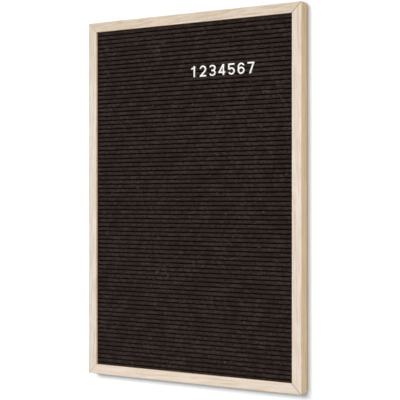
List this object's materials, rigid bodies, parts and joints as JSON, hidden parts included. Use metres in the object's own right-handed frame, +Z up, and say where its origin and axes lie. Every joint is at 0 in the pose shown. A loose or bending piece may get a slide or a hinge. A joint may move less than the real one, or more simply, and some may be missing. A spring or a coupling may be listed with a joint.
{
  "type": "felt letter board",
  "caption": "Tall wall board with a mitred wooden frame, a grooved dark felt face and a row of white plastic digits pressed into the grooves.",
  "frame": {"origin": "middle of the bottom rail's underside, half way between the frame's front and rear faces", "axes": "+Z up, +X to the viewer's right, -Y out of the felt face towards the viewer, +Y towards the wall"},
  "size_m": [0.4, 0.0237, 0.6],
  "materials": {
    "frame_wood": "pale, straight-grained, clear matt lacquer",
    "felt": "very dark warm brown felt with short lint",
    "core_board": "raw fibreboard",
    "hardboard": "dark brown hardboard, smooth side",
    "steel": "thin zinc plating",
    "white_plastic": "moulded, soft gloss"
  },
  "bodies": {
    "root": {"top_rail": "frame_wood", "bottom_rail": "frame_wood", "left_stile": "frame_wood", "right_stile": "frame_wood", "felt_face": "felt", "slotted_core": "core_board", "back_panel": "hardboard", "panel_point_01": "steel", "panel_point_02": "steel", "panel_point_03": "steel", "panel_point_04": "steel", "panel_point_05": "steel", "panel_point_06": "steel", "panel_point_07": "steel", "panel_point_08": "steel", "panel_point_09": "steel", "panel_point_10": "steel", "panel_point_11": "steel", "panel_point_12": "steel", "corner_nail_lower_left": "steel", "corner_nail_lower_right": "steel", "corner_nail_upper_right": "steel", "corner_nail_upper_left": "steel", "sawtooth_hanger": "steel", "hanger_nail_left": "steel", "hanger_nail_right": "steel", "digit_1": "white_plastic", "digit_2": "white_plastic", "digit_3": "white_plastic", "digit_4": "white_plastic", "digit_5": "white_plastic", "digit_6": "white_plastic", "digit_7": "white_plastic"}
  },
  "joints": []
}
